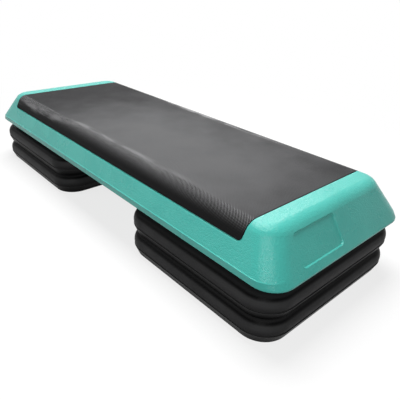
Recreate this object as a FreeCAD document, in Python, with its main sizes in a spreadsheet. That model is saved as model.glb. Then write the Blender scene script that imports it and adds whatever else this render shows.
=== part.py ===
"""Aerobic step platform: a moulded deck with a tread mat on two stacks of square risers.

Lengths are millimetres. +X runs along the deck, +Z points up, and the origin lies on the floor under the
middle of the deck. Every size is a cell of the document's sheet, and the features are bound to those cells.
"""
import FreeCAD, Part
import itertools
import math
import os
import re

import Sketcher

Vector = FreeCAD.Vector

SIZES = {
    # Deck: outer form. Heights are measured from the soles of the deck's own feet.
    "deck_length": 1100.0,
    "deck_width": 406.0,
    "deck_height": 100.0,
    "deck_corner": 46.0,
    "rim_lift": 20.0,
    "side_rim": 14.0,
    "end_rim": 4.0,
    "rim_step": 1.6,
    "rim_edge": 1.0,
    "end_inset": 48.6,
    "side_inset": 36.0,
    "crown_corner": 40.0,
    "edge_radius": 28.0,
    # Deck: walls and ribs inside
    "shell_skin": 6.0,
    "deck_rib": 3.5,
    "deck_rib_lift": 4.0,
    # Mat, and the bed that it lies in
    "end_band": 31.0,
    "mat_drop": 32.0,
    "mat_thickness": 3.0,
    "mat_corner": 7.0,
    "mat_gap": 1.2,
    "glue_gap": 0.1,
    "bed_edge": 2.0,
    # Bare panel on each end of the deck
    "panel_width": 118.0,
    "panel_rise": 60.0,
    "panel_slant": 4.0,
    "panel_corner": 9.0,
    "panel_depth": 2.4,
    "panel_draft": 40.0,
    "panel_offset": 66.0,
    "panel_height": 61.5,
    # Risers: outer form
    "riser_side_inset": 1.0,
    "riser_end_inset": 4.0,
    "riser_pitch": 50.0,
    "riser_corner": 58.0,
    "bulge_height": 30.0,
    "bulge_radius": 24.0,
    "base_inset": 7.5,
    "base_step": 1.6,
    "seam_height": 21.0,
    "shoulder_drop": 4.0,
    "shoulder_inset": 14.0,
    "shoulder_radius": 11.0,
    # Risers: walls and ribs inside
    "riser_skin": 4.0,
    "riser_lip": 10.0,
    "riser_rib": 2.5,
    # Raised square on each riser, and the sockets that it goes into
    "key_margin": 57.0,
    "key_corner": 40.0,
    "key_height": 10.0,
    "key_edge": 2.5,
    "key_clearance": 1.5,
    "key_headroom": 18.0,
    "socket_wall": 4.0,
    # Push-in feet and their posts
    "foot_inset": 42.0,
    "foot_radius": 14.0,
    "foot_height": 3.0,
    "foot_bevel": 1.0,
    "stem_radius": 6.0,
    "stem_length": 11.0,
    "stem_clearance": 0.15,
    "post_radius": 17.0,
    # How far a cut or a joined piece runs past the face that it meets
    "overrun": 2.0,
}

# Heights above the floor, and other sums of sizes that several pieces share
DECK_SOLE = "(2 * riser_pitch)"
DECK_BASE = f"({DECK_SOLE} + foot_height)"
RIM_BASE = f"({DECK_SOLE} + rim_lift)"
END_RIM_TOP = f"({RIM_BASE} + end_rim)"
RIM_TOP = f"({RIM_BASE} + side_rim)"
DECK_TOP = f"({DECK_SOLE} + deck_height)"
DECK_RIBS = f"({RIM_BASE} + deck_rib_lift)"
WALL_RISE = "(deck_height - rim_lift - side_rim)"
END_FOOT = "(deck_length / 2)"
SIDE_FOOT = "(deck_width / 2 - rim_step)"
END_SLOPE = "(end_inset / (deck_height - rim_lift - end_rim))"
SIDE_SLOPE = f"(side_inset / {WALL_RISE})"
END_SECANT = f"sqrt(1 + {END_SLOPE}^2)"
SIDE_SECANT = f"sqrt(1 + {SIDE_SLOPE}^2)"
END_SINE = f"({END_SLOPE} / {END_SECANT})"
SIDE_SINE = f"({SIDE_SLOPE} / {SIDE_SECANT})"
# The flat top ends where the rounding of its edges begins
CROWN_RUN = f"(edge_radius * (1 - {SIDE_SINE}) * {SIDE_SECANT})"
CROWN_X = f"({END_FOOT} - end_inset - edge_radius * (1 - {END_SINE}) * {END_SECANT})"
CROWN_Y = f"({SIDE_FOOT} - side_inset - {CROWN_RUN})"
MAT_LENGTH = f"(2 * ({CROWN_X} - end_band))"
RISER_SIZE = "(deck_width - 2 * riser_side_inset)"
STACK_X = f"(deck_length / 2 - riser_end_inset - {RISER_SIZE} / 2)"
FOOT_REACH = f"({RISER_SIZE} / 2 - foot_inset)"
KEY_SIZE = f"({RISER_SIZE} - 2 * key_margin)"
SOCKET_SIZE = f"({KEY_SIZE} + 2 * key_clearance)"
SOCKET_CORNER = "(key_corner + key_clearance)"
HOLE_RADIUS = "(stem_radius + stem_clearance)"
HOLE_DEPTH = "(stem_length + overrun)"
PLATE_BASE = "(riser_pitch - riser_skin)"
SHOULDER = "(riser_pitch - shoulder_drop)"
RISER_RIBS = "(key_height + key_headroom)"

# Feet stand at the corners of a square under each stack: shares of its half width
FOOT_CORNER_SHARES = tuple(itertools.product((-1, 1), repeat=2))
# Ribs cross a riser, or the deck over a stack, at these shares of the way to the feet
RIB_SHARES = (-0.5, 0, 0.5)
# Two measured places or lengths this close are the same
TOLERANCE = 1e-3

doc = FreeCAD.newDocument("AerobicStep")
sheet = doc.addObject("Spreadsheet::Sheet", "Sizes")
for row, (alias, size) in enumerate(SIZES.items(), start=1):
    sheet.set(f"A{row}", alias)
    sheet.set(f"B{row}", str(size))
    sheet.setAlias(f"B{row}", alias)
doc.recompute()

ALIAS = re.compile(r"\b(" + "|".join(SIZES) + r")\b")


def measure(text):
    """Return the value of an expression that is written in the sheet's aliases."""
    return float(sheet.evalExpression(text))


def tie(item, target, text):
    """Bind a property to an expression that is written in the sheet's aliases."""
    item.setExpression(target, ALIAS.sub(r"Sizes.\1", text))


def new_body(name):
    """Start a PartDesign body whose name is also its label."""
    body = doc.addObject("PartDesign::Body", name)
    body.Label = name
    return body


def origin_item(body, role):
    """Find one of a body's origin planes or axes by its role."""
    return next(item for item in body.Origin.OriginFeatures if item.Role == role)


def new_sketch(body, name, role="XY_Plane", height="0"):
    """Attach an empty sketch to an origin plane of its body, raised along the plane's normal."""
    sketch = body.newObject("Sketcher::SketchObject", name)
    sketch.AttachmentSupport = (origin_item(body, role), [""])
    sketch.MapMode = "FlatFace"
    tie(sketch, "AttachmentOffset.Base.z", height)
    return sketch


def dimension(sketch, kind, target, text):
    """Add one dimension to a sketch and bind it to an expression."""
    constraint = Sketcher.Constraint(kind, *target, measure(text))
    constraint.Name = f"size_{sketch.ConstraintCount}"
    sketch.addConstraint(constraint)
    tie(sketch, f"Constraints.{constraint.Name}", text)


def fix_point(sketch, geometry, position, point):
    """Dimension a point of a sketch from the sketch's origin."""
    for kind, text in zip(("DistanceX", "DistanceY"), point):
        dimension(sketch, kind, (-1, 1, geometry, position), text)


def arc_between(start, end, radius, turn):
    """Return the short arc from start to end that turns left (1) or right (-1)."""
    chord = end - start
    rise = math.sqrt(radius ** 2 - (chord.Length / 2) ** 2)
    centre = (start + end) / 2 + Vector(-chord.y, chord.x, 0) * (turn * rise / chord.Length)
    angles = [math.atan2(p.y - centre.y, p.x - centre.x) for p in (start, end)]
    return Part.ArcOfCircle(Part.Circle(centre, Vector(0, 0, 1), radius), *angles[::turn])


def add_loop(sketch, points):
    """Draw a closed loop of lines and arcs.

    A point is (x, y), or (x, y, radius, turn) where an arc of that radius leaves it, to the left (1) or
    to the right (-1).
    """
    places = [Vector(measure(x), measure(y), 0) for x, y, *_ in points]
    edges = []
    for (x, y, *bend), start, end in zip(points, places, places[1:] + places[:1]):
        if bend:
            radius, turn = bend
            edge = sketch.addGeometry(arc_between(start, end, measure(radius), turn))
            ends = (1, 2)[::turn]
        else:
            edge = sketch.addGeometry(Part.LineSegment(start, end))
            ends = (1, 2)
        edges.append((edge, *ends))
    for (edge, start, end), following, (x, y, *bend) in zip(edges, edges[1:] + edges[:1], points):
        sketch.addConstraint(Sketcher.Constraint("Coincident", edge, end, following[0], following[1]))
        fix_point(sketch, edge, start, (x, y))
        if bend:
            dimension(sketch, "Radius", (edge,), bend[0])


def add_circle(sketch, x, y, radius):
    """Draw a circle about (x, y)."""
    centre = Vector(measure(x), measure(y), 0)
    edge = sketch.addGeometry(Part.Circle(centre, Vector(0, 0, 1), measure(radius)))
    fix_point(sketch, edge, 3, (x, y))
    dimension(sketch, "Radius", (edge,), radius)


def rectangle(length, width, middle=("0", "0")):
    """Return the loop of a rectangle about a middle point."""
    return [(f"{middle[0]} + {x} * ({length}) / 2", f"{middle[1]} + {y} * ({width}) / 2")
            for x, y in ((1, -1), (1, 1), (-1, 1), (-1, -1))]


def rounded_rectangle(length, width, radius):
    """Return the loop of a rectangle about the origin with rounded corners."""
    x, y = f"({length}) / 2", f"({width}) / 2"
    inner_x, inner_y = f"({x} - ({radius}))", f"({y} - ({radius}))"
    return [(x, f"-{inner_y}"), (x, inner_y, radius, 1),
            (inner_x, y), (f"-{inner_x}", y, radius, 1),
            (f"-({x})", inner_y), (f"-({x})", f"-{inner_y}", radius, 1),
            (f"-{inner_x}", f"-({y})"), (inner_x, f"-({y})", radius, 1)]


def flipped(bend):
    """Return an edge's bend, if it has one, with its turn to the other side."""
    if not bend:
        return ()
    radius, turn = bend
    return radius, -turn


def mirrored(points):
    """Return the mirror image of a run of points in the sketch's upright axis."""
    return [(f"-({x})", y, *flipped(bend)) for x, y, *bend in points]


def backwards(points):
    """Return a run of points walked the other way: an arc belongs to the point that it leaves."""
    bends = [()] + [flipped(bend) for _, _, *bend in points[:-1]]
    return [(x, y, *bend) for (x, y, *_), bend in zip(points[::-1], bends[::-1])]


def pad(body, name, sketch, length, both_ways=False):
    """Add the prism of a sketch to a body."""
    feature = body.newObject("PartDesign::Pad", name)
    feature.Profile = sketch
    feature.Refine = False
    tie(feature, "Length", length)
    if both_ways:
        feature.SideType = "Symmetric"
    doc.recompute()
    return feature


def pocket(body, name, sketch, depth, both_ways=False, upward=False):
    """Cut the prism of a sketch out of a body, and make sure that something was cut."""
    before = body.Shape.Volume
    feature = body.newObject("PartDesign::Pocket", name)
    feature.Profile = sketch
    feature.Reversed = upward
    tie(feature, "Length", depth)
    if both_ways:
        feature.SideType = "Symmetric"
    doc.recompute()
    if body.Shape.Volume >= before:
        raise RuntimeError(f"{name} cuts nothing")
    return feature


def loft(body, name, outlines):
    """Join the outlines of a body, from the lowest up, by straight walls."""
    feature = body.newObject("PartDesign::AdditiveLoft", name)
    feature.Profile = outlines[0]
    feature.Sections = outlines[1:]
    feature.Ruled = True
    doc.recompute()
    return feature


def fillet(body, name, radius, belongs):
    """Round the edges of a body's newest feature that a test picks."""
    base = body.Tip
    names = [f"Edge{index}" for index, edge in enumerate(base.Shape.Edges, start=1) if belongs(edge)]
    feature = body.newObject("PartDesign::Fillet", name)
    feature.Base = (base, names)
    tie(feature, "Radius", radius)
    doc.recompute()
    return feature


def lies_at(height):
    """Return a test for edges that lie wholly at one height."""
    def belongs(edge):
        low, high = edge.BoundBox.ZMin, edge.BoundBox.ZMax
        return max(abs(low - height), abs(high - height)) < TOLERANCE
    return belongs


def spans(text):
    """Return a test for edges of one length, such as those across the thickness of a sheet."""
    length = measure(text)
    return lambda edge: abs(edge.Length - length) < TOLERANCE


def bounds_bed(body):
    """Return a test for the edges where the wall of the mat's bed meets the skin around it."""
    reach = measure(f"{MAT_LENGTH} / 2 + mat_gap") + TOLERANCE
    shape = body.Tip.Shape

    def belongs(edge):
        faces = shape.ancestorsOfType(edge, Part.Face)
        return len({max(-face.BoundBox.XMin, face.BoundBox.XMax) > reach for face in faces}) == 2
    return belongs


def box(name, length, width, low, high, middle=("0", "0")):
    """Return a Part box about a middle point, between two heights."""
    item = doc.addObject("Part::Box", name)
    tie(item, "Length", length)
    tie(item, "Width", width)
    tie(item, "Height", f"{high} - {low}")
    tie(item, "Placement.Base.x", f"{middle[0]} - ({length}) / 2")
    tie(item, "Placement.Base.y", f"{middle[1]} - ({width}) / 2")
    tie(item, "Placement.Base.z", low)
    return item


def cylinder(name, radius, low, high, middle):
    """Return an upright Part cylinder between two heights."""
    item = doc.addObject("Part::Cylinder", name)
    tie(item, "Radius", radius)
    tie(item, "Height", f"{high} - {low}")
    tie(item, "Placement.Base.x", middle[0])
    tie(item, "Placement.Base.y", middle[1])
    tie(item, "Placement.Base.z", low)
    return item


def fuse(name, items):
    """Return the union of several objects."""
    union = doc.addObject("Part::MultiFuse", name)
    union.Shapes = items
    union.Refine = False
    doc.recompute()
    return union


def cut(name, base, tool, refine=False):
    """Return one object with another taken out of it."""
    result = doc.addObject("Part::Cut", name)
    result.Base = base
    result.Tool = tool
    result.Refine = refine
    doc.recompute()
    return result


def deck_outline(body, name, height, depth, drop="0"):
    """Sketch the deck's sloping walls at a height, a depth inside their outer faces.

    The sketch itself lies lower by drop.
    """
    rise = f"({height} - {RIM_TOP})"
    share = f"({rise} / {WALL_RISE})"
    length = f"2 * ({END_FOOT} - {END_SLOPE} * ({height} - {END_RIM_TOP}) - {depth} * {END_SECANT})"
    width = f"2 * ({SIDE_FOOT} - {SIDE_SLOPE} * {rise} - {depth} * {SIDE_SECANT})"
    corner = f"(deck_corner - rim_step - {depth} - (deck_corner - rim_step - crown_corner) * {share})"
    sketch = new_sketch(body, name, height=f"({height} - {drop})")
    add_loop(sketch, rounded_rectangle(length, width, corner))
    return sketch


def lip_outline(body, number, height, slope_rise, bevel):
    """Sketch the lip at a height: the ends slope in above their rim, and a bevel draws it in all round."""
    sketch = new_sketch(body, f"lip_outline_{number}", height=height)
    add_loop(sketch, rounded_rectangle(f"deck_length - 2 * ({END_SLOPE} * ({slope_rise}) + {bevel})",
                                       f"deck_width - 2 * {bevel}", f"(deck_corner - {bevel})"))
    return sketch


def mat_section(depth, run_on):
    """Return half of the line that lies a depth below the deck's skin, from a long side to the middle.

    It starts on the side wall, at the mat's lower edge moved down the slope by run_on.
    """
    centre = f"({DECK_TOP} - edge_radius)"
    edge_y = f"({SIDE_FOOT} - {SIDE_SLOPE} * ({WALL_RISE} - mat_drop) + {run_on} * {SIDE_SINE})"
    edge_z = f"({DECK_TOP} - mat_drop - {run_on} / {SIDE_SECANT})"
    bend = f"(edge_radius - ({depth}))"
    return [(f"{edge_y} - ({depth}) / {SIDE_SECANT}", f"{edge_z} - ({depth}) * {SIDE_SINE}"),
            (f"{CROWN_Y} + {bend} / {SIDE_SECANT}", f"{centre} + {bend} * {SIDE_SINE}", bend, 1),
            (CROWN_Y, f"{centre} + {bend}")]


def make_deck_skin():
    """Model the deck as if it were solid: lip, sloping walls, rounded crown, mat bed and end panels."""
    body = new_body("deck_skin")
    levels = ((RIM_BASE, "0", "rim_edge"), (f"{RIM_BASE} + rim_edge", "0", "0"), (END_RIM_TOP, "0", "0"),
              (f"{RIM_TOP} - rim_edge", "side_rim - rim_edge - end_rim", "0"))
    sections = [lip_outline(body, number, *level) for number, level in enumerate(levels, start=1)]
    # The lip runs out into the end walls, which have no step
    loft(body, "lip", [*sections, deck_outline(body, "lip_head", RIM_TOP, "0")])
    loft(body, "walls", [deck_outline(body, "wall_foot", RIM_TOP, "0"),
                         deck_outline(body, "wall_head", DECK_TOP, "0")])
    fillet(body, "crown", "edge_radius", lies_at(measure(DECK_TOP)))

    bed = new_sketch(body, "bed_section", role="YZ_Plane")
    floor = mat_section("mat_thickness", "mat_gap")
    clear_y, clear_z = mat_section("-overrun", "mat_gap")[0]
    outside = [(clear_y, f"{DECK_TOP} + overrun"), (clear_y, clear_z)]
    half = outside + floor
    add_loop(bed, half + backwards(mirrored(half)))
    pocket(body, "mat_bed", bed, f"{MAT_LENGTH} + 2 * mat_gap", both_ways=True)
    fillet(body, "bed_corners", "mat_corner + mat_gap", spans("mat_thickness"))
    fillet(body, "bed_rim", "bed_edge", bounds_bed(body))

    panel = new_sketch(body, "panel_outline", role="YZ_Plane",
                       height=f"{END_FOOT} - {END_SLOPE} * (panel_height - rim_lift - end_rim)")
    lean = math.degrees(math.atan(measure(END_SLOPE)))
    panel.AttachmentOffset = FreeCAD.Placement(panel.AttachmentOffset.Base,
                                               FreeCAD.Rotation(Vector(-1, 0, 0), lean))
    tie(panel, "AttachmentOffset.Base.x", "-panel_offset")
    tie(panel, "AttachmentOffset.Base.y", f"{DECK_SOLE} + panel_height")
    tie(panel, "AttachmentOffset.Rotation.Angle", f"atan({END_SLOPE})")
    add_loop(panel, panel_loop())
    recess = pocket(body, "end_panel", panel, "panel_depth")
    tie(recess, "TaperAngle", "-panel_draft")
    doc.recompute()
    both_ends = body.newObject("PartDesign::PolarPattern", "end_panels")
    both_ends.Originals = [recess]
    both_ends.Axis = (origin_item(body, "Z_Axis"), [""])
    both_ends.Angle = 360
    both_ends.Occurrences = 2
    body.Tip = both_ends
    doc.recompute()
    return body


def panel_loop():
    """Return the end panel's outline: a rectangle whose far side leans outwards towards its foot."""
    secant = "sqrt(1 + (panel_slant / panel_rise)^2)"
    cosine, sine = f"(1 / {secant})", f"(panel_slant / panel_rise / {secant})"
    head, foot = "panel_rise / 2", "-panel_rise / 2"
    near, far = "-panel_width / 2", "panel_width / 2"
    head_run = f"(panel_corner * (1 - {sine}) / {cosine})"
    foot_run = f"(panel_corner * (1 + {sine}) / {cosine})"
    return [(f"{near} + panel_corner", foot),
            (f"{far} - {foot_run}", foot, "panel_corner", 1),
            (f"{far} - {foot_run} * {sine}", f"{foot} + {foot_run} * {cosine}"),
            (f"{far} - panel_slant + {head_run} * {sine}", f"{head} - {head_run} * {cosine}",
             "panel_corner", 1),
            (f"{far} - panel_slant - {head_run}", head),
            (f"{near} + panel_corner", head, "panel_corner", 1),
            (near, f"{head} - panel_corner"),
            (near, f"{foot} + panel_corner", "panel_corner", 1)]


def make_socket(name, middle):
    """Model the square wall under the deck that a riser's raised square goes into."""
    body = new_body(name)
    sketch = new_sketch(body, f"{name}_outline", height=DECK_BASE)
    for wall in ("0", "socket_wall"):
        size = f"({SOCKET_SIZE} + 2 * {wall})"
        add_loop(sketch, rounded_rectangle(size, size, f"({SOCKET_CORNER} + {wall})"))
    pad(body, f"{name}_wall", sketch, f"{DECK_TOP} - {DECK_BASE}")
    tie(body, "Placement.Base.x", middle)
    return body


def deck_foot_places():
    """Return the places of the deck's eight feet, stack by stack."""
    return [(f"{side} * {STACK_X} + {x} * {FOOT_REACH}", f"{y} * {FOOT_REACH}")
            for side in (-1, 1) for x, y in FOOT_CORNER_SHARES]


def make_deck_inside():
    """Return the ribs, sockets and foot posts that fill part of the hollow under the deck."""
    items = [make_socket(f"deck_socket_{number}", f"{side} * {STACK_X}")
             for number, side in enumerate((-1, 1), start=1)]
    stack_ribs = [f"{side} * {STACK_X} + {share} * {FOOT_REACH}"
                  for side in (-1, 1) for share in (-1, *RIB_SHARES, 1)]
    middle_ribs = [f"{share} * ({STACK_X} - {FOOT_REACH})" for share in RIB_SHARES]
    for number, x in enumerate(stack_ribs + middle_ribs, start=1):
        items.append(box(f"cross_rib_{number}", "deck_rib", "deck_width", DECK_RIBS, DECK_TOP, (x, "0")))
    for number, share in enumerate((-1, *RIB_SHARES, 1), start=1):
        place = ("0", f"{share} * {FOOT_REACH}")
        items.append(box(f"long_rib_{number}", "deck_length", "deck_rib", DECK_RIBS, DECK_TOP, place))
    for number, place in enumerate(deck_foot_places(), start=1):
        items.append(cylinder(f"deck_post_{number}", "post_radius", DECK_BASE, DECK_TOP, place))
    return fuse("deck_inside", items)


def make_platform_shell():
    """Model the deck's moulding: the skin, hollowed from below around its ribs, sockets and posts."""
    hollow = new_body("deck_hollow")
    knee = f"({DECK_TOP} - edge_radius + (edge_radius - shell_skin) * {SIDE_SINE})"
    ceiling = new_sketch(hollow, "hollow_ceiling", height=f"({DECK_TOP} - shell_skin)")
    add_loop(ceiling, rounded_rectangle(f"2 * {CROWN_X}", f"2 * {CROWN_Y}", f"(crown_corner - {CROWN_RUN})"))
    # Behind the lip the hollow is upright
    loft(hollow, "hollow_walls", [deck_outline(hollow, "hollow_foot", RIM_TOP, "shell_skin", "side_rim"),
                                  deck_outline(hollow, "hollow_rim", RIM_TOP, "shell_skin"),
                                  deck_outline(hollow, "hollow_knee", knee, "shell_skin"), ceiling])
    reach = f"2 * ({FOOT_REACH} + post_radius + overrun)"
    below = box("post_room", f"2 * {STACK_X} + {reach}", reach, DECK_BASE, DECK_RIBS)
    room = fuse("deck_room", [hollow, below])
    cells = cut("deck_cells", room, make_deck_inside())
    block = fuse("deck_block", [make_deck_skin(), below])
    moulding = cut("deck_moulding", block, cells)
    holes = fuse("deck_stem_holes", [
        cylinder(f"deck_stem_hole_{number}", HOLE_RADIUS, DECK_BASE, f"({DECK_BASE} + {HOLE_DEPTH})", place)
        for number, place in enumerate(deck_foot_places(), start=1)])
    shell = cut("platform_shell", moulding, holes, refine=True)
    shell.Label = "platform_shell"
    return shell


def make_tread_mat():
    """Model the mat: a sheet that follows the deck's skin over both long edges."""
    body = new_body("tread_mat")
    sketch = new_sketch(body, "mat_outline", role="YZ_Plane")
    half = backwards(mat_section("(mat_thickness - glue_gap)", "0")) + mat_section("0", "0")
    add_loop(sketch, half + backwards(mirrored(half)))
    pad(body, "mat_sheet", sketch, MAT_LENGTH, both_ways=True)
    fillet(body, "mat_corners", "mat_corner", spans("mat_thickness - glue_gap"))
    return body


def bulge_inset(height):
    """Return how far a riser's bulged wall lies inside its widest outline at a height."""
    return f"(bulge_radius - sqrt(bulge_radius^2 - ({height} - bulge_height)^2))"


def riser_wall_section():
    """Return the section of a riser's wall, with the rim of its top plate.

    The wall draws in to a ledge on top of its base, and to a rounded shoulder under its top.
    """
    half = f"{RISER_SIZE} / 2"
    seam, shoulder = f"({half} - {bulge_inset('seam_height')})", f"{half} - shoulder_inset"
    return [(f"{half} - base_inset", "foot_height"),
            (f"{seam} + base_step", "seam_height"),
            (seam, "seam_height", "bulge_radius", 1),
            (f"{half} - {bulge_inset(SHOULDER)}", SHOULDER, "shoulder_radius", 1),
            (shoulder, "riser_pitch"),
            (f"{shoulder} - riser_lip", "riser_pitch"),
            (f"{shoulder} - riser_lip", PLATE_BASE),
            (f"{half} - {bulge_inset(PLATE_BASE)} - riser_skin", PLATE_BASE, "bulge_radius", -1),
            (f"{seam} - riser_skin", "seam_height"),
            (f"{half} - base_inset - riser_skin", "foot_height")]


def make_riser(label, middle, floor):
    """Model a riser block: a bulged wall, a plate with a raised square, a socket, ribs and foot posts."""
    body = new_body(label)
    path = new_sketch(body, f"{label}_path")
    add_loop(path, rounded_rectangle(RISER_SIZE, RISER_SIZE, "riser_corner"))
    section = new_sketch(body, f"{label}_section", role="XZ_Plane")
    add_loop(section, riser_wall_section())
    wall = body.newObject("PartDesign::AdditivePipe", f"{label}_wall")
    wall.Profile = section
    wall.Spine = path
    doc.recompute()

    plate_size = f"({RISER_SIZE} - 2 * shoulder_inset - riser_lip)"
    plate = new_sketch(body, f"{label}_plate_outline", height=PLATE_BASE)
    add_loop(plate, rounded_rectangle(plate_size, plate_size, "(riser_corner - shoulder_inset)"))
    pad(body, f"{label}_plate", plate, "riser_skin")
    key = new_sketch(body, f"{label}_key_outline", height="riser_pitch")
    add_loop(key, rounded_rectangle(KEY_SIZE, KEY_SIZE, "key_corner"))
    pad(body, f"{label}_key", key, "key_height")
    fillet(body, f"{label}_key_edge", "key_edge", lies_at(measure("riser_pitch + key_height")))
    hollow = new_sketch(body, f"{label}_key_hollow_outline", height=PLATE_BASE)
    hollow_size = f"({KEY_SIZE} - 2 * riser_skin)"
    add_loop(hollow, rounded_rectangle(hollow_size, hollow_size, "(key_corner - riser_skin)"))
    pocket(body, f"{label}_key_hollow", hollow, "key_height", upward=True)

    socket = new_sketch(body, f"{label}_socket_outline", height="foot_height")
    for wall_size in ("0", "socket_wall"):
        size = f"({SOCKET_SIZE} + 2 * {wall_size})"
        add_loop(socket, rounded_rectangle(size, size, f"({SOCKET_CORNER} + {wall_size})"))
    pad(body, f"{label}_socket", socket, f"{PLATE_BASE} + riser_skin / 2 - foot_height")
    add_riser_ribs(body, label)
    for name, radius, low, high in (
            ("posts", "post_radius", "foot_height", f"({PLATE_BASE} + riser_skin / 2)"),
            ("stem_holes", HOLE_RADIUS, "foot_height", f"(foot_height + {HOLE_DEPTH})")):
        circles = new_sketch(body, f"{label}_{name}_outline", height=low)
        for x, y in FOOT_CORNER_SHARES:
            add_circle(circles, f"{x} * {FOOT_REACH}", f"{y} * {FOOT_REACH}", radius)
        if name == "posts":
            pad(body, f"{label}_{name}", circles, f"{high} - {low}")
        else:
            pocket(body, f"{label}_{name}", circles, f"{high} - {low}", upward=True)
    tie(body, "Placement.Base.x", middle)
    tie(body, "Placement.Base.z", floor)
    return body


def add_riser_ribs(body, label):
    """Add the ribs under a riser's plate: grids in the socket and the raised square, and short ribs outside."""
    wall_middle = f"({SOCKET_SIZE} + socket_wall)"
    outer = f"({RISER_SIZE} - 2 * base_inset - riser_skin)"
    short = f"(({outer} - {wall_middle}) / 2)"
    short_middle = f"({outer} / 2 - {short} / 2)"
    plate_middle = f"({PLATE_BASE} + riser_skin / 2)"
    groups = (
        ("ribs", wall_middle, ("0",), RISER_RIBS, plate_middle),
        ("link_ribs", short, (f"-{short_middle}", short_middle), RISER_RIBS, plate_middle),
        ("key_ribs", f"({KEY_SIZE} - riser_skin)", ("0",), PLATE_BASE, f"({plate_middle} + key_height)"))
    for axis in (0, 1):
        along = slice(None, None, -1 if axis else 1)
        for name, length, middles, low, high in groups:
            sketch = new_sketch(body, f"{label}_{name}_outline_{axis}", height=low)
            for share, middle in itertools.product(RIB_SHARES, middles):
                place = (middle, f"{share} * {FOOT_REACH}")[along]
                add_loop(sketch, rectangle(*(length, "riser_rib")[along], middle=place))
            pad(body, f"{label}_{name}_{axis}", sketch, f"{high} - {low}")


def make_foot(label, x, y, sole):
    """Model a push-in foot: a round pad with a stem that goes up into its post."""
    body = new_body(label)
    sketch = new_sketch(body, f"{label}_section", role="XZ_Plane")
    tip = "(foot_height + stem_length)"
    add_loop(sketch, [("0", "0"), ("foot_radius - foot_bevel", "0"), ("foot_radius", "foot_bevel"),
                      ("foot_radius", "foot_height"), ("stem_radius", "foot_height"),
                      ("stem_radius", f"{tip} - foot_bevel"), ("stem_radius - foot_bevel", tip), ("0", tip)])
    turned = body.newObject("PartDesign::Revolution", f"{label}_turned")
    turned.Profile = sketch
    turned.ReferenceAxis = (sketch, ["V_Axis"])
    turned.Angle = 360
    doc.recompute()
    tie(body, "Placement.Base.x", x)
    tie(body, "Placement.Base.y", y)
    tie(body, "Placement.Base.z", sole)
    return body


def make_parts():
    """Build every piece of the step and return the objects that are written out."""
    parts = [make_platform_shell(), make_tread_mat()]
    for number, (x, y) in enumerate(deck_foot_places(), start=1):
        parts.append(make_foot(f"platform_foot_{number}", x, y, DECK_SOLE))
    for side, sign in (("left", -1), ("right", 1)):
        for level, floor in (("lower", "0"), ("upper", "riser_pitch")):
            middle = f"{sign} * {STACK_X}"
            parts.append(make_riser(f"{side}_{level}_riser", middle, floor))
            for number, (x, y) in enumerate(FOOT_CORNER_SHARES, start=1):
                parts.append(make_foot(f"{side}_{level}_foot_{number}", f"{middle} + {x} * {FOOT_REACH}",
                                       f"{y} * {FOOT_REACH}", floor))
    doc.recompute()
    return parts


def write_parts(parts):
    """Check every object of the document and every piece, then write each piece to its own file."""
    failed = [item.Label for item in doc.Objects if {"Invalid", "Error"} & set(item.State)]
    failed += [part.Label for part in parts
               if part.Shape.isNull() or not part.Shape.isValid() or len(part.Shape.Solids) != 1]
    if failed:
        raise RuntimeError(f"these did not build: {sorted(set(failed))}")
    os.makedirs("parts", exist_ok=True)
    for part in parts:
        part.Shape.exportStep(f"parts/{part.Label}.step")
        print(f"{part.Label}: {part.Shape.Volume:.0f} mm3")


write_parts(make_parts())
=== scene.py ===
"""Looks of the aerobic step platform: its finishes, its finer pieces, the studio and the camera.

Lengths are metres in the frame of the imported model: +X along the platform, +Z up, the origin on the floor.
Angles are degrees unless a name says otherwise. Colours are linear.
"""
import logging
import math
from dataclasses import dataclass, replace
from enum import Enum
from typing import Optional, Union

import bmesh
import bpy
from mathutils import Matrix, Vector


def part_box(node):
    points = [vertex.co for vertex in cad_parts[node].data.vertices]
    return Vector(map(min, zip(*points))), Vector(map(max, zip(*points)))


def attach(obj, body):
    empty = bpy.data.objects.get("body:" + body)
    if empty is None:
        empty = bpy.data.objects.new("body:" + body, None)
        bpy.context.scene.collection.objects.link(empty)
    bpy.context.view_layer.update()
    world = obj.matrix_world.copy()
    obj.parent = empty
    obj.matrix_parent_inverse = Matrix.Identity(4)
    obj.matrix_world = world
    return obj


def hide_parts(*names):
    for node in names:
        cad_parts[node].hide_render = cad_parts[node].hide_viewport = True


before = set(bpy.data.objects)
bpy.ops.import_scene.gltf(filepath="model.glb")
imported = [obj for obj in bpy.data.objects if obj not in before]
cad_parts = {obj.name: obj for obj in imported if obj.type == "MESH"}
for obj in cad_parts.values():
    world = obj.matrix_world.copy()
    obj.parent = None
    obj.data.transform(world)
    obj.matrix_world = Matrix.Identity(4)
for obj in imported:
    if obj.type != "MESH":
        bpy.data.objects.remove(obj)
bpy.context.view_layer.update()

log = logging.getLogger("aerobic_step")

Colour = tuple[float, float, float, float]
Span = tuple[float, float]
Sockets = dict[Union[str, int], object]

WHITE: Colour = (1.0, 1.0, 1.0, 1.0)
NOISE_MEAN = 0.5
MERGE_DISTANCE = 1e-6


class Slot(Enum):
    """The record's material slots for the mat and the feet."""

    MAT = "mat_rubber"
    FOOT = "foot_rubber"


class Body(Enum):
    """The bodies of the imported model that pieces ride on."""

    PLATFORM = "platform"
    LEFT_LOWER = "left_lower"
    LEFT_UPPER = "left_upper"
    RIGHT_LOWER = "right_lower"
    RIGHT_UPPER = "right_upper"


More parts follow.
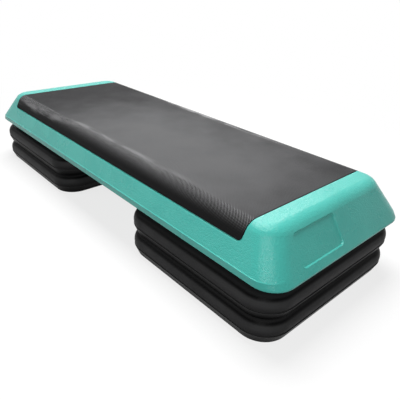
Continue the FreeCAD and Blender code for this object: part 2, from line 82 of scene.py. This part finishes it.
class Signal:
    """A value that changes over a surface. Arithmetic on it adds the Math nodes that work it out."""

    def __init__(self, graph: "Graph", socket: bpy.types.NodeSocket) -> None:
        """Wrap an output socket of a graph."""
        self.graph = graph
        self.socket = socket

    def _math(self, operation: str, first: object, second: object) -> "Signal":
        """Add a Math node on two values."""
        return self.graph.add("Math", {"operation": operation}, {0: first, 1: second})

    def __add__(self, other: object) -> "Signal":
        """Return self + other."""
        return self._math("ADD", self, other)

    def __radd__(self, other: object) -> "Signal":
        """Return other + self."""
        return self._math("ADD", other, self)

    def __sub__(self, other: object) -> "Signal":
        """Return self - other."""
        return self._math("SUBTRACT", self, other)

    def __rsub__(self, other: object) -> "Signal":
        """Return other - self."""
        return self._math("SUBTRACT", other, self)

    def __mul__(self, other: object) -> "Signal":
        """Return self * other."""
        return self._math("MULTIPLY", self, other)

    def __rmul__(self, other: object) -> "Signal":
        """Return other * self."""
        return self._math("MULTIPLY", other, self)

    def __abs__(self) -> "Signal":
        """Return self without its sign."""
        return self.graph.add("Math", {"operation": "ABSOLUTE"}, {0: self})

    def or_more(self, other: object) -> "Signal":
        """Return the larger of self and other."""
        return self._math("MAXIMUM", self, other)

    def rise(self, low: float, high: float) -> "Signal":
        """Return a smooth step.

        Args:
            low: Value at which the step is 0.
            high: Value at which the step is 1.

        Returns:
            The step, between 0 and 1.
        """
        return self.graph.add("MapRange", {"interpolation_type": "SMOOTHSTEP"},
                              {"Value": self, "From Min": low, "From Max": high})

    def band(self, start: Span, end: Span) -> "Signal":
        """Return a soft-edged band.

        Args:
            start: Values between which the band comes in.
            end: Values between which it goes out.

        Returns:
            The band, 1 inside and 0 outside.
        """
        return self.rise(*start) * (1 - self.rise(*end))


class Graph:
    """The nodes of one material or of the world."""

    def __init__(self, owner: Union[bpy.types.Material, bpy.types.World]) -> None:
        """Start an empty graph on a material or a world."""
        owner.use_nodes = True
        self.tree = owner.node_tree
        self.tree.nodes.clear()

    def add(self, kind: str, settings: Optional[dict[str, object]] = None, sockets: Optional[Sockets] = None,
            output: Union[str, int] = 0) -> Optional[Signal]:
        """Add a node.

        Args:
            kind: The node's type, without its ShaderNode prefix.
            settings: The node's own properties, which are set first.
            sockets: Values or links of its input sockets, by name or number.
            output: The output that is wanted, by name or number.

        Returns:
            That output, or None from a node that has none.
        """
        node = self.tree.nodes.new(f"ShaderNode{kind}")
        for name, value in (settings or {}).items():
            setattr(node, name, value)
        for name, value in (sockets or {}).items():
            if isinstance(value, Signal):
                self.tree.links.new(value.socket, node.inputs[name])
            else:
                node.inputs[name].default_value = value
        return Signal(self, node.outputs[output]) if node.outputs else None

    def place(self) -> Signal:
        """Return the Object coordinates."""
        return self.add("TexCoord", output="Object")

    def axis(self, vector: Signal, name: str) -> Signal:
        """Return one of a vector's numbers: X, Y or Z."""
        return self.add("SeparateXYZ", None, {"Vector": vector}, name)

    def tint(self, share: Signal, first: object, second: object) -> Signal:
        """Mix two colours.

        Args:
            share: How much of the second colour shows, from 0 to 1.
            first: The colour at 0.
            second: The colour at 1.

        Returns:
            The mixed colour.
        """
        return self.add("Mix", {"data_type": "RGBA"}, {0: share, 6: first, 7: second}, output=2)

    def noise(self, place: Signal, size: float, detail: float = 2.0) -> Signal:
        """Return soft noise whose lumps are about that many metres across."""
        return self.add("TexNoise", None, {"Vector": place, "Scale": 1 / size, "Detail": detail}, "Fac")

    def pebbles(self, place: Signal, size: float, disorder: float = 1.0) -> Signal:
        """Return the distance from the middle of rounded pebbles, in shares of their spacing."""
        return self.add("TexVoronoi", {"feature": "F1"},
                        {"Vector": place, "Scale": 1 / size, "Randomness": disorder}, "Distance")

    def relief(self, height: Signal, depth: float) -> Signal:
        """Return the normal of a surface that stands that many metres proud where height is 1."""
        return self.add("Bump", None, {"Strength": 1.0, "Distance": depth, "Height": height})

    def seen(self) -> Signal:
        """Return 1 for rays that show the surroundings, also mirrored, and 0 for light on the object."""
        camera, glossy, through = (self.add("LightPath", output=f"Is {kind} Ray")
                                   for kind in ("Camera", "Glossy", "Transmission"))
        return camera.or_more(glossy).or_more(through)

    def show(self, shader: Signal, output: str = "OutputMaterial") -> None:
        """Send a shader to the graph's output."""
        self.add(output, None, {"Surface": shader})


class Finish:
    """A surface of the object. A subclass says how it is painted."""

    name: str

    def paint(self, graph: Graph) -> Signal:
        """Return the surface's shader."""
        raise NotImplementedError

    def material(self) -> bpy.types.Material:
        """Return the surface's material, which is made the first time."""
        found = bpy.data.materials.get(self.name)
        if found is None:
            found = bpy.data.materials.new(self.name)
            graph = Graph(found)
            graph.show(self.paint(graph))
        return found


@dataclass(frozen=True)
class MouldedPlastic(Finish):
    """Satin moulding with a pebbled grain, soft waviness and slight drift in colour."""

    name: str
    colour: Colour
    drift_colour: Colour
    roughness: float
    specular: float
    grain_size: float = 0.0016
    grain_share: float = 0.7
    wave_size: float = 0.0042
    relief_depth: float = 0.00030
    drift_size: float = 0.09
    drift_detail: float = 4.0
    drift_span: Span = (0.35, 0.70)
    rough_spread: float = 0.10

    def paint(self, graph: Graph) -> Signal:
        """Return the surface's shader."""
        place = graph.place()
        grain = 1 - graph.pebbles(place, self.grain_size)
        wave = graph.noise(place, self.wave_size)
        drift = graph.noise(place, self.drift_size, self.drift_detail)
        moulded = graph.tint(drift.rise(*self.drift_span), self.colour, self.drift_colour)
        return graph.add("BsdfPrincipled", None, {
            "Base Color": self.painted_light(graph, place, moulded),
            "Roughness": self.roughness + (drift - NOISE_MEAN) * self.rough_spread,
            "Normal": graph.relief(grain * self.grain_share + wave, self.relief_depth),
            "Specular IOR Level": self.specular})

    def painted_light(self, graph: Graph, place: Signal, colour: Signal) -> Signal:
        """Return the colour with its painted highlight and painted shade, of which a plain moulding has
        none.
        """
        return colour


@dataclass(frozen=True)
class RiserPlastic(MouldedPlastic):
    """Black moulding of a riser, with a painted highlight on its bulge and seam and painted shade in the
    bands beside them.

    The bands are heights above the riser's own foot, which stands at the height of base.
    """

    base: float = 0.0
    # A painted highlight and painted shade, standing in for light and shade on the riser's sides.
    bulge_highlight_colour: Colour = (0.060, 0.060, 0.0610, 1.0)
    groove_shade_colour: Colour = (0.0015, 0.0015, 0.0016, 1.0)
    bulge_from: Span = (0.024, 0.036)
    bulge_to: Span = (0.040, 0.045)
    seam_from: Span = (0.0190, 0.0205)
    seam_to: Span = (0.0215, 0.0230)
    # Heights of the painted shade above the foot and under the head.
    foot_shade: Span = (0.006, 0.019)
    head_shade: Span = (0.040, 0.046)
    flat_facing: Span = (0.6, 0.9)
    # How strong the painted highlight is, and the patches that break it up.
    bulge_highlight_share: float = 0.6
    highlight_patch_size: float = 0.05
    highlight_patch_detail: float = 4.0
    highlight_patch_span: Span = (0.30, 0.70)
    least_highlight: float = 0.6

    def painted_light(self, graph: Graph, place: Signal, colour: Signal) -> Signal:
        """Return the colour with its painted highlight and painted shade bands, which only the upright sides
        have.
        """
        height = graph.axis(place, "Z") - self.base
        facing = graph.axis(graph.add("NewGeometry", output="Normal"), "Z")
        side = 1 - abs(facing).rise(*self.flat_facing)
        patches = graph.noise(place, self.highlight_patch_size, self.highlight_patch_detail).rise(*self.highlight_patch_span)
        highlight_strength = self.least_highlight + patches * (1 - self.least_highlight)
        bulge = height.band(self.bulge_from, self.bulge_to)
        seam = height.band(self.seam_from, self.seam_to)
        # Painted shade at the foot and under the head of the upright sides.
        painted_shade = (1 - height.rise(*self.foot_shade)).or_more(height.rise(*self.head_shade)) * side
        # Painted highlight on the bulge, in patches, and on the seam.
        painted_highlight = (bulge * highlight_strength).or_more(seam) * side * self.bulge_highlight_share
        return graph.tint(painted_shade, graph.tint(painted_highlight, colour, self.bulge_highlight_colour), self.groove_shade_colour)


@dataclass(frozen=True)
class DottedRubber(Finish):
    """Rubber with rows of small dots, faint on the tread and bold over the bends, with painted light:
    painted sheen on the tread, a painted highlight on the dots over the bends and on polished streaks at the
    top of the bends, and painted shade on the skirts.

    It reads a UV map in metres whose U runs along the mat and whose V runs across it from its middle line.
    """

    name: str
    flat_half: float
    bend_run: float
    tread_colour: Colour = (0.015, 0.015, 0.0158, 1.0)
    # Painted sheen on the tread, standing in for light mirrored off its top.
    sheen_colour: Colour = (0.106, 0.106, 0.1086, 1.0)
    # Painted highlight on the tops of the dots over the bends.
    dot_highlight_colour: Colour = (0.400, 0.400, 0.4080, 1.0)
    # Painted shade on the skirts, darker than the tread's rubber.
    skirt_shade_colour: Colour = (0.0050, 0.0050, 0.0053, 1.0)
    # Painted highlight on the polished streaks at the top of the bends.
    streak_highlight_colour: Colour = (0.260, 0.260, 0.2650, 1.0)
    roughness: float = 0.82
    polished_roughness: float = 0.36
    specular: float = 0.10
    bend_blend: float = 0.008
    fade_past_bend: float = 0.010
    pitch: float = 0.0025
    row_turn: float = 45.0
    dot_edge: Span = (0.22, 0.40)
    dot_height: float = 0.0014
    dot_gain: float = 0.10
    tread_relief: float = 0.22
    skirt_relief: float = 0.25
    # Where the tread's painted sheen lies: round the middle of the length and towards the front, in patches.
    sheen_middle: float = 0.14
    sheen_reach: Span = (0.10, 0.58)
    sheen_side: Span = (-0.06, 0.15)
    side_share: float = 0.42
    centre_share: float = 0.8
    sheen_size: float = 0.09
    sheen_detail: float = 6.0
    sheen_spread: float = 0.55
    sheen_span: Span = (-0.10, 0.90)
    # Where the polished streaks lie; their share sets how strong their painted highlight is.
    streak_start: float = 0.012
    streak_end: Span = (0.006, 0.020)
    streak_stop: Span = (0.10, 0.42)
    streak_highlight_share: float = 0.45
    highlight_between_dots: float = 0.35
    streak_size: float = 0.016
    streak_stretch: float = 5.0
    streak_detail: float = 6.0
    streak_span: Span = (0.36, 0.62)
    # Towards the far end the streaks move further over the bend and their painted highlight grows stronger.
    streak_far: Span = (-0.26, -0.10)
    far_shift: float = 0.020
    far_highlight_share: float = 0.40
    streak_flat: float = 0.3

    def paint(self, graph: Graph) -> Signal:
        """Return the surface's shader."""
        sheet = graph.add("UVMap", {"uv_map": TreadMat.UV})
        along, offset = graph.axis(sheet, "X"), graph.axis(sheet, "Y")
        across = abs(offset)
        far = 1 - along.rise(*self.streak_far)
        bend = across.rise(self.flat_half, self.flat_half + self.bend_blend)
        fade = across.rise(self.flat_half, self.flat_half + self.bend_run + self.fade_past_bend)
        dots = self.dots(graph, sheet)
        scuffs = self.scuffs(graph, sheet, along, across - far * self.far_shift)
        # Painted sheen on the tread, a little stronger on the dots.
        sheen = self.sheen_mask(graph, sheet, along, offset) * (1 - self.dot_gain) + dots * self.dot_gain
        tread = graph.tint(sheen, self.tread_colour, self.sheen_colour)
        # Painted highlight on the dots over the bends, fading down the bend into the skirt's painted shade.
        bent = graph.tint(dots * (1 - fade), self.skirt_shade_colour, self.dot_highlight_colour)
        # Painted highlight on the streaks, stronger on the dots and towards the far end.
        streak_highlight = scuffs * (dots + self.highlight_between_dots) * (self.streak_highlight_share + far * self.far_highlight_share)
        relief = self.tread_relief + bend * (1 - self.tread_relief) - fade * (1 - self.skirt_relief)
        return graph.add("BsdfPrincipled", None, {
            "Base Color": graph.tint(streak_highlight, graph.tint(bend, tread, bent), self.streak_highlight_colour),
            "Roughness": self.roughness + scuffs * (self.polished_roughness - self.roughness),
            "Normal": graph.relief(dots * relief * (1 - scuffs * self.streak_flat), self.dot_height),
            "Specular IOR Level": self.specular})

    def dots(self, graph: Graph, sheet: Signal) -> Signal:
        """Return 1 on the dots, which stand in slanting rows, and 0 between them."""
        turn = (0.0, 0.0, math.radians(self.row_turn))
        turned = graph.add("Mapping", None, {"Vector": sheet, "Rotation": turn})
        return 1 - graph.pebbles(turned, self.pitch, 0.0).rise(*self.dot_edge)

    def sheen_mask(self, graph: Graph, sheet: Signal, along: Signal, offset: Signal) -> Signal:
        """Return how much painted sheen the tread has: most round the middle of its length and towards its
        front edge, broken into patches.

        Args:
            graph: The nodes to add to.
            sheet: The place on the flat sheet.
            along: Its distance along the mat.
            offset: Its distance across the mat, with a sign.

        Returns:
            The share of painted sheen, from 0 to 1.
        """
        centred = (1 - abs(along - self.sheen_middle).rise(*self.sheen_reach)) * (
            1 - offset.rise(*self.sheen_side) * self.side_share)
        patches = (graph.noise(sheet, self.sheen_size, self.sheen_detail) - NOISE_MEAN) * self.sheen_spread
        return (centred * self.centre_share + patches).rise(*self.sheen_span)

    def scuffs(self, graph: Graph, sheet: Signal, along: Signal, across: Signal) -> Signal:
        """Return where the top of the bends has polished streaks, which are less rough and carry a painted
        highlight.

        Args:
            graph: The nodes to add to.
            sheet: The place on the flat sheet.
            along: Its distance along the mat.
            across: Its distance from the middle line, less the shift over the bend at the far end.

        Returns:
            The streaks, from 0 to 1.
        """
        edge = across.band((self.flat_half - self.streak_start, self.flat_half),
                           tuple(self.flat_half + run for run in self.streak_end))
        streak = graph.add("Mapping", None, {"Vector": sheet, "Scale": (1 / self.streak_stretch, 1.0, 1.0)})
        patches = graph.noise(streak, self.streak_size, self.streak_detail).rise(*self.streak_span)
        return edge * (1 - along.rise(*self.streak_stop)) * patches


@dataclass(frozen=True)
class PlainRubber(Finish):
    """Matte rubber with a faint bloom."""

    name: str
    colour: Colour
    bloom_colour: Colour
    roughness: float = 0.78
    rough_spread: float = 0.1
    specular: float = 0.3
    bloom_size: float = 0.006
    bloom_detail: float = 3.0
    bloom_span: Span = (0.40, 0.75)
    grain_size: float = 0.0006
    grain_depth: float = 0.00004

    def paint(self, graph: Graph) -> Signal:
        """Return the surface's shader."""
        place = graph.place()
        bloom = graph.noise(place, self.bloom_size, self.bloom_detail)
        grain = graph.noise(place, self.grain_size)
        return graph.add("BsdfPrincipled", None, {
            "Base Color": graph.tint(bloom.rise(*self.bloom_span), self.colour, self.bloom_colour),
            "Roughness": self.roughness + (bloom - NOISE_MEAN) * self.rough_spread,
            "Normal": graph.relief(grain, self.grain_depth),
            "Specular IOR Level": self.specular})


DECK_FINISH = MouldedPlastic("deck_plastic_finish", colour=(0.058, 0.43, 0.372, 1.0),
                             drift_colour=(0.049, 0.395, 0.342, 1.0), roughness=0.27, specular=0.27,
                             relief_depth=0.00045)
LOWER_RISER_FINISH = RiserPlastic("lower_riser_finish", colour=(0.018, 0.018, 0.0184, 1.0),
                                  drift_colour=(0.023, 0.023, 0.0235, 1.0), roughness=0.40, specular=0.03,
                                  grain_size=0.0012, wave_size=0.0035, relief_depth=0.00016)
UPPER_RISER_FINISH = replace(LOWER_RISER_FINISH, name="upper_riser_finish", base=0.050)
FOOT_FINISH = PlainRubber("foot_rubber_finish", colour=(0.012, 0.012, 0.012, 1.0),
                          bloom_colour=(0.022, 0.022, 0.022, 1.0))


def dress(node: str, finish: Finish) -> None:
    """Give every material slot of a CAD node a finish.

    Args:
        node: The node's name.
        finish: The surface that it gets.
    """
    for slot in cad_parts[node].material_slots:
        slot.material = finish.material()
    log.info("%s: CAD node in %s", node, finish.name)


def shade_smooth(mesh: bmesh.types.BMesh) -> None:
    """Shade every face of a mesh smooth."""
    for face in mesh.faces:
        face.smooth = True


def add_piece(name: str, mesh: bmesh.types.BMesh, body: Body, finish: Finish,
              stands_for: str) -> bpy.types.Object:
    """Turn a bmesh into a piece of the object.

    Args:
        name: The piece's name.
        mesh: Its shape in the model's frame, which is freed.
        body: The body that it rides on.
        finish: Its surface.
        stands_for: The CAD node that it replaces.

    Returns:
        The new object.
    """
    data = bpy.data.meshes.new(name)
    mesh.to_mesh(data)
    mesh.free()
    data.materials.append(finish.material())
    piece = bpy.data.objects.new(name, data)
    bpy.context.scene.collection.objects.link(piece)
    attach(piece, body.value)
    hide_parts(stands_for)
    log.info("%s: %d faces in %s", name, len(data.polygons), finish.name)
    return piece


@dataclass
class TreadMat:
    """The rubber mat: a flat sheet with rounded corners, wrapped over both long edges of the deck.

    The bend's radius is that of the outer face, and the lean is the walls' angle from upright, in radians.
    """

    UV = "sheet"

    flat_half: float = 0.1487783
    bend_radius: float = 0.028
    lean: float = math.atan(36 / 66)
    thickness: float = 0.0029
    corner: float = 0.007
    corner_steps: int = 6
    edge: float = 0.0007
    edge_steps: int = 3
    edge_angle: float = 50.0
    bend_steps: int = 14

    def __post_init__(self) -> None:
        """Take the sheet's length and height from the CAD node."""
        low, high = (Vector(corner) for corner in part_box("tread_mat"))
        self.length = high.x - low.x
        self.top = high.z
        self.turn = math.pi / 2 - self.lean
        bend_end = self.top - self.bend_radius * (1 - math.sin(self.lean))
        self.skirt = (bend_end - self.skirt_foot(low.z)) / math.cos(self.lean)
        self.half = self.flat_half + self.bend_radius * self.turn + self.skirt

    def skirt_foot(self, lowest: float) -> float:
        """Return the height of the outer face's lower edge, which lies above the underside's."""
        return lowest + self.thickness * math.sin(self.lean)

    def wrap(self, across: float, depth: float) -> tuple[float, float]:
        """Bend one point of the flat sheet over the deck's edge.

        Args:
            across: Distance from the middle line, measured on the sheet.
            depth: Distance below the sheet's face.

        Returns:
            The point's Y and Z.
        """
        side = math.copysign(1.0, across)
        run = max(abs(across) - self.flat_half, 0.0)
        turn = min(run / self.bend_radius, self.turn)
        radius = self.bend_radius - depth
        slide = max(run - self.bend_radius * self.turn, 0.0)
        y = min(abs(across), self.flat_half) + radius * math.sin(turn) + slide * math.sin(self.lean)
        z = self.top - self.bend_radius + radius * math.cos(turn) - slide * math.cos(self.lean)
        return side * y, z

    def build(self) -> bpy.types.Object:
        """Model the mat.

        Returns:
            The mat's object.
        """
        mesh = bmesh.new()
        bmesh.ops.create_grid(mesh, x_segments=1, y_segments=1, size=0.5)
        bmesh.ops.scale(mesh, vec=(self.length, 2 * self.half, 1.0), verts=mesh.verts)
        bmesh.ops.bevel(mesh, geom=mesh.verts[:], offset=self.corner, offset_type="OFFSET",
                        affect="VERTICES", segments=self.corner_steps, profile=0.5, material=-1)
        bend = self.bend_radius * self.turn
        cuts = [self.flat_half + bend * step / self.bend_steps for step in range(self.bend_steps + 1)]
        for across in [-cut for cut in cuts] + [0.0] + cuts:
            bmesh.ops.bisect_plane(mesh, geom=mesh.verts[:] + mesh.edges[:] + mesh.faces[:],
                                   plane_co=(0.0, across, 0.0), plane_no=(0.0, 1.0, 0.0))
        sheet = mesh.loops.layers.uv.new(self.UV)
        for face in mesh.faces:
            for loop in face.loops:
                loop[sheet].uv = loop.vert.co.xy
        bmesh.ops.solidify(mesh, geom=mesh.faces[:], thickness=self.thickness)
        for vert in mesh.verts:
            vert.co.y, vert.co.z = self.wrap(vert.co.y, abs(vert.co.z))
        bmesh.ops.recalc_face_normals(mesh, faces=mesh.faces)
        sharp = math.radians(self.edge_angle)
        rim = [edge for edge in mesh.edges if edge.is_manifold and edge.calc_face_angle() > sharp]
        bmesh.ops.bevel(mesh, geom=rim, offset=self.edge, offset_type="OFFSET", affect="EDGES",
                        segments=self.edge_steps, profile=0.5, material=-1)
        shade_smooth(mesh)
        finish = DottedRubber("mat_rubber_finish", self.flat_half, bend)
        return add_piece("tread_mat_sheet", mesh, Body.PLATFORM, finish, "tread_mat")


@dataclass
class PushInFoot:
    """A rubber foot: a sole with grip rings, and the stem that pushes into its post."""

    node: str
    body: Body
    sole_radius: float = 0.0130
    side_radius: float = 0.0140
    sole_edge: float = 0.0010
    edge_cut: float = 0.0003
    sole_height: float = 0.0030
    groove_radii: tuple[float, ...] = (0.0030, 0.0062, 0.0094)
    groove_half: float = 0.0009
    groove_depth: float = 0.0007
    stem_radius: float = 0.0060
    stem_lead: float = 0.0012
    steps: int = 32
    crease: float = 30.0

    def profile(self, height: float) -> list[tuple[float, float]]:
        """Return the half section's corners.

        Args:
            height: Height of the whole foot.

        Returns:
            Each corner's radius and height, from the middle of the sole to the top of the stem.
        """
        sole = [(0.0, 0.0)]
        for radius in self.groove_radii:
            inner, outer = radius - self.groove_half, radius + self.groove_half
            sole += [(inner, 0.0), (radius, self.groove_depth), (outer, 0.0)]
        rim = [(self.sole_radius, 0.0), (self.side_radius - self.edge_cut, self.edge_cut),
               (self.side_radius, self.sole_edge), (self.side_radius, self.sole_height)]
        stem = [(self.stem_radius, self.sole_height), (self.stem_radius, height - self.stem_lead),
                (self.stem_radius - self.stem_lead, height), (0.0, height)]
        return sole + rim + stem

    def build(self) -> bpy.types.Object:
        """Model the foot.

        Returns:
            The foot's object.
        """
        low, high = (Vector(corner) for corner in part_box(self.node))
        mesh = bmesh.new()
        corners = [mesh.verts.new((radius, 0.0, z)) for radius, z in self.profile(high.z - low.z)]
        edges = [mesh.edges.new(pair) for pair in zip(corners, corners[1:])]
        bmesh.ops.spin(mesh, geom=corners + edges, cent=(0.0, 0.0, 0.0), axis=(0.0, 0.0, 1.0),
                       angle=2 * math.pi, steps=self.steps, use_merge=True)
        bmesh.ops.remove_doubles(mesh, verts=mesh.verts, dist=MERGE_DISTANCE)
        bmesh.ops.recalc_face_normals(mesh, faces=mesh.faces)
        bmesh.ops.translate(mesh, vec=((low.x + high.x) / 2, (low.y + high.y) / 2, low.z), verts=mesh.verts)
        shade_smooth(mesh)
        for edge in mesh.edges:
            edge.smooth = edge.calc_face_angle(0.0) < math.radians(self.crease)
        return add_piece(f"{self.node}_pad", mesh, self.body, FOOT_FINISH, self.node)


@dataclass
class Deck:
    """The platform: its moulded shell, its mat and its push-in feet."""

    body: Body = Body.PLATFORM
    foot_count: int = 8

    def build(self) -> None:
        """Model and dress the platform's pieces."""
        dress("platform_shell", DECK_FINISH)
        TreadMat().build()
        for number in range(1, self.foot_count + 1):
            PushInFoot(f"platform_foot_{number}", self.body).build()


@dataclass
class Riser:
    """One riser block and its push-in feet."""

    body: Body
    finish: RiserPlastic
    foot_count: int = 4

    def build(self) -> None:
        """Model and dress the riser's pieces."""
        dress(f"{self.body.value}_riser", self.finish)
        for number in range(1, self.foot_count + 1):
            PushInFoot(f"{self.body.value}_foot_{number}", self.body).build()


def aim(azimuth: float, elevation: float, roll: float = 0.0) -> Matrix:
    """Return the turn of a camera or lamp that looks back from a direction.

    Args:
        azimuth: Degrees round the object; 0 looks along +Y and 90 along -X.
        elevation: Degrees above the horizon.
        roll: Degrees that the image's right side tips up.

    Returns:
        A rotation whose columns point right, up and back.
    """
    a, e, r = (math.radians(angle) for angle in (azimuth, elevation, roll))
    back = Vector((math.sin(a) * math.cos(e), -math.cos(a) * math.cos(e), math.sin(e)))
    right = Vector((math.cos(a), math.sin(a), 0.0))
    up = back.cross(right)
    right, up = right * math.cos(r) + up * math.sin(r), up * math.cos(r) - right * math.sin(r)
    return Matrix((right, up, back)).transposed()


def set_up(name: str, data: bpy.types.ID, turn: Matrix, target: Vector, distance: float) -> bpy.types.Object:
    """Stand a camera or lamp at a distance from its target.

    Args:
        name: The object's name.
        data: The camera or lamp.
        turn: Its rotation.
        target: The point that it looks at.
        distance: Metres from the target.

    Returns:
        The new object.
    """
    item = bpy.data.objects.new(name, data)
    item.matrix_world = Matrix.Translation(target + turn.col[2] * distance) @ turn.to_4x4()
    bpy.context.scene.collection.objects.link(item)
    return item


@dataclass(frozen=True)
class SoftBox:
    """A square studio lamp that faces the object."""

    name: str
    azimuth: float
    elevation: float
    distance: float
    width: float
    power: float
    target: tuple[float, float, float] = (0.1, 0.0, 0.1)

    def build(self) -> None:
        """Add the lamp."""
        lamp = bpy.data.lights.new(self.name, "AREA")
        lamp.size = self.width
        lamp.energy = self.power
        set_up(self.name, lamp, aim(self.azimuth, self.elevation), Vector(self.target), self.distance)


@dataclass(frozen=True)
class PaleFloor(Finish):
    """Pale floor that shows the object's shadow, is white away from it and throws little light back up."""

    name: str = "pale_floor_finish"
    colour: Colour = (0.88, 0.88, 0.88, 1.0)
    drift_colour: Colour = (0.84, 0.84, 0.84, 1.0)
    drift_size: float = 0.4
    bounce_colour: Colour = (0.26, 0.26, 0.26, 1.0)
    white_share: float = 0.76
    shadow_reach: Span = (0.6, 1.3)

    def paint(self, graph: Graph) -> Signal:
        """Return the floor's shader."""
        place = graph.place()
        seen = graph.seen()
        reach = graph.add("VectorMath", {"operation": "LENGTH"}, {0: place}, "Value")
        share = self.white_share + reach.rise(*self.shadow_reach) * (1 - self.white_share)
        pale = graph.tint(graph.noise(place, self.drift_size), self.colour, self.drift_colour)
        floor = graph.add("BsdfDiffuse", None, {"Color": graph.tint(seen, self.bounce_colour, pale)})
        white = graph.add("Emission", None, {"Color": WHITE, "Strength": 1.0})
        return graph.add("MixShader", None, {0: seen * share, 1: floor, 2: white})


@dataclass
class Studio:
    """The floor, the lamps, the surroundings and the camera.

    The camera's focal share is its focal length in widths of the picture.
    """

    floor_size: float = 60.0
    fill: float = 0.05
    lamps: tuple[SoftBox, ...] = (
        SoftBox("overhead_lamp", azimuth=-90.0, elevation=72.0, distance=1.8, width=1.0, power=45.0,
                target=(0.38, 0.12, 0.12)),
        SoftBox("front_lamp", azimuth=38.0, elevation=33.0, distance=1.3, width=0.28, power=9.0,
                target=(0.50, -0.17, 0.12)),
        SoftBox("side_lamp", azimuth=-24.0, elevation=24.0, distance=1.5, width=0.5, power=3.5,
                target=(-0.45, -0.17, 0.10)),
        SoftBox("window_lamp", azimuth=-138.0, elevation=28.0, distance=2.8, width=1.3, power=30.0),
    )
    camera_azimuth: float = 47.19
    camera_elevation: float = 28.04
    camera_roll: float = 2.46
    camera_distance: float = 0.93551
    camera_target: tuple[float, float, float] = (0.2193, -0.05315, 0.100)
    camera_near: float = 0.01
    focal_share: float = 1.0683
    sensor_mm: float = 36.0

    def build(self) -> None:
        """Set up the studio."""
        self.build_floor()
        self.build_surroundings()
        for lamp in self.lamps:
            lamp.build()
        self.build_camera()
        bpy.context.scene.view_settings.view_transform = "Standard"

    def build_floor(self) -> None:
        """Lay the floor under the object."""
        mesh = bmesh.new()
        bmesh.ops.create_grid(mesh, x_segments=1, y_segments=1, size=self.floor_size / 2)
        data = bpy.data.meshes.new("studio_floor")
        mesh.to_mesh(data)
        mesh.free()
        data.materials.append(PaleFloor().material())
        floor = bpy.data.objects.new("studio_floor", data)
        bpy.context.scene.collection.objects.link(floor)

    def build_surroundings(self) -> None:
        """Make the surroundings white to the camera and a soft fill light to the object."""
        world = bpy.data.worlds.new("studio_surroundings")
        bpy.context.scene.world = world
        graph = Graph(world)
        strength = self.fill + graph.seen() * (1 - self.fill)
        graph.show(graph.add("Background", None, {"Color": WHITE, "Strength": strength}), "OutputWorld")

    def build_camera(self) -> None:
        """Stand the camera where the photograph was taken from."""
        camera = bpy.data.cameras.new("photo_camera")
        camera.sensor_width = self.sensor_mm
        camera.lens = self.focal_share * self.sensor_mm
        camera.clip_start = self.camera_near
        turn = aim(self.camera_azimuth, self.camera_elevation, self.camera_roll)
        bpy.context.scene.camera = set_up("photo_camera", camera, turn, Vector(self.camera_target),
                                          self.camera_distance)


def main() -> None:
    """Build the step platform and its studio."""
    logging.basicConfig(level=logging.INFO, format="%(name)s: %(message)s")
    Deck().build()
    for body in (Body.LEFT_LOWER, Body.RIGHT_LOWER):
        Riser(body, LOWER_RISER_FINISH).build()
    for body in (Body.LEFT_UPPER, Body.RIGHT_UPPER):
        Riser(body, UPPER_RISER_FINISH).build()
    Studio().build()


if __name__ == "__main__":
    main()
